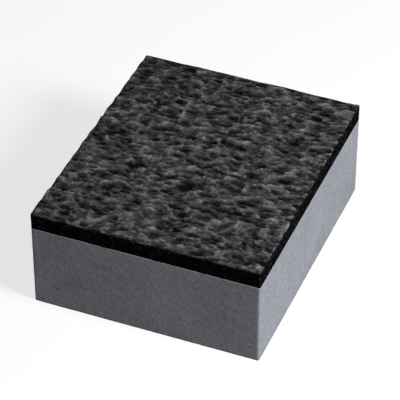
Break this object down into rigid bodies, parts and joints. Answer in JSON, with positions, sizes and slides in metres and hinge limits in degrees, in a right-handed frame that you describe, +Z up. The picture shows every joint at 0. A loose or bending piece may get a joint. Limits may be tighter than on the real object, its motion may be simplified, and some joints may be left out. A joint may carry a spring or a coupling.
{
  "type": "paving block",
  "caption": "Rectangular concrete paving block with a grey base and a thin, rough black facing on its upper side, laid on sand to pave paths, drives and yards.",
  "frame": {"origin": "middle of the bed face, the underside that lies on the bedding sand", "axes": "+X along the course, +Y across the course, the block's longest side, +Z up to the wearing face"},
  "size_m": [0.17, 0.205, 0.08],
  "materials": {
    "base_concrete": "matte",
    "facing_concrete": "matte"
  },
  "bodies": {
    "root": {"base_concrete": "base_concrete", "facing_layer": "facing_concrete"}
  },
  "joints": []
}
